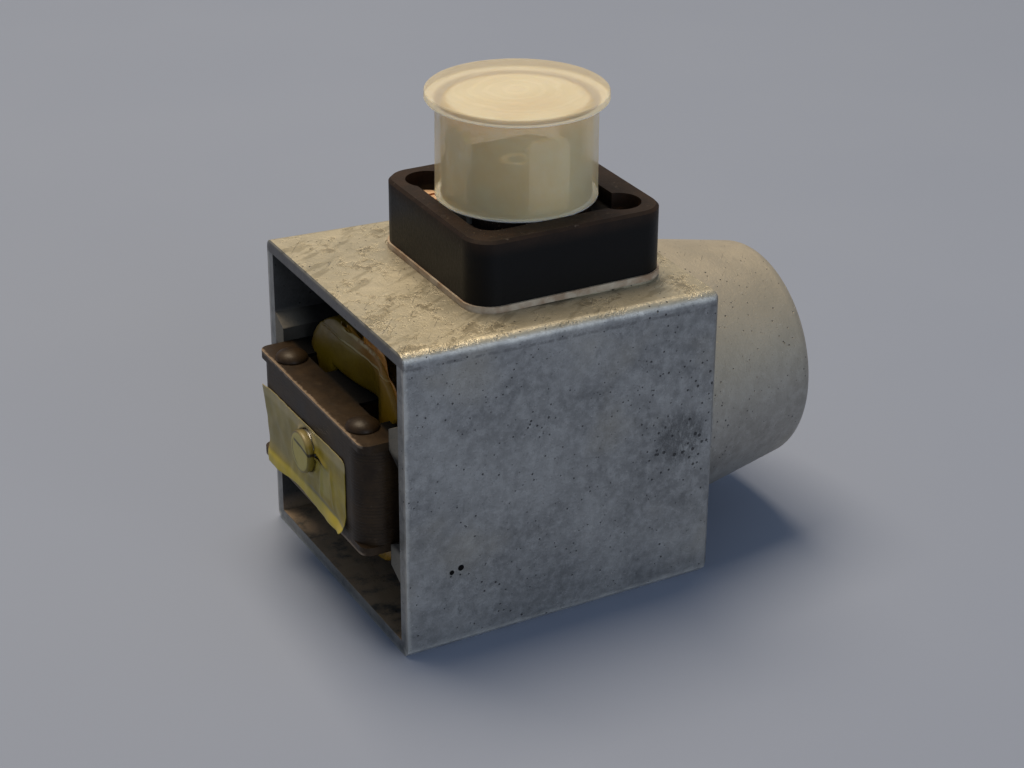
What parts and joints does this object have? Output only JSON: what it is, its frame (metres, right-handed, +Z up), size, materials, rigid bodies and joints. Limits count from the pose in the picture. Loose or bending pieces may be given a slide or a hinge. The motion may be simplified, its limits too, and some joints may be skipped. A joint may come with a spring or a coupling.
{
  "type": "solenoid valve coil",
  "caption": "Push-type solenoid for a small directional valve: a cast box with a tapered boss, an open core with a taped coil, and a capped plug base on top.",
  "frame": {"origin": "under the middle of the solenoid, on the surface that its flat bottom face stands on", "axes": "+X along the armature's axis, from the open valve end to the tapered boss; +Z up, towards the plug contacts"},
  "size_m": [0.0754, 0.045, 0.0709],
  "materials": {
    "die_cast": "as cast, matte, mottled with dark specks",
    "core_varnish": "brown varnish, satin",
    "core_steel": "bare electrical steel",
    "copper": "copper",
    "brass": "turned brass",
    "ground_steel": "ground",
    "film": "translucent yellow film",
    "bobbin_plastic": "moulded",
    "tape": "varnished tape, satin",
    "wire_insulation": "sleeve",
    "gasket_sheet": "pale sheet gasket",
    "black_plastic": "black moulding, satin",
    "plated_screw": "yellow plated",
    "tinned_blade": "tinned",
    "cap_plastic": "natural translucent polyethylene",
    "seal_rubber": "black rubber"
  },
  "bodies": {
    "solenoid": {"housing": "die_cast", "stator_laminations": "core_varnish", "stator_top_plate": "core_varnish", "stator_bottom_plate": "core_varnish", "stator_rivets": "core_varnish", "shading_rings": "copper", "guide_bush": "brass", "protective_film": "film", "coil_bobbin": "bobbin_plastic", "coil_winding": "copper", "coil_tape": "tape", "lead_wires": "wire_insulation", "base_gasket": "gasket_sheet", "plug_base": "black_plastic", "base_screws": "plated_screw", "contact_block": "black_plastic", "threaded_insert": "brass", "contact_blade_1": "tinned_blade", "contact_blade_2": "tinned_blade", "earth_blade": "tinned_blade", "armature_stop_pads": "seal_rubber"},
    "armature": {"armature_laminations": "core_steel", "armature_top_plate": "core_steel", "armature_bottom_plate": "core_steel", "armature_rivets": "core_steel", "push_pin": "ground_steel", "film_disc": "film"},
    "override": {"override_pin": "ground_steel", "override_clip": "ground_steel", "override_o_ring": "seal_rubber"},
    "cap": {"dust_cap": "cap_plastic"}
  },
  "joints": [
    {"name": "armature_slide", "type": "slide", "parent": "solenoid", "child": "armature", "axis": [-1, 0, 0], "range_m": [0, 0.0035]},
    {"name": "override_slide", "type": "slide", "parent": "solenoid", "child": "override", "axis": [-1, 0, 0], "range_m": [0, 0.0035]},
    {"name": "cap_pull", "type": "slide", "parent": "solenoid", "child": "cap", "axis": [0, 0, 1], "range_m": [0, 0.02]}
  ],
  "couplings": [
    {"joint": "override_slide", "follows": "armature_slide", "ratio": 1}
  ]
}
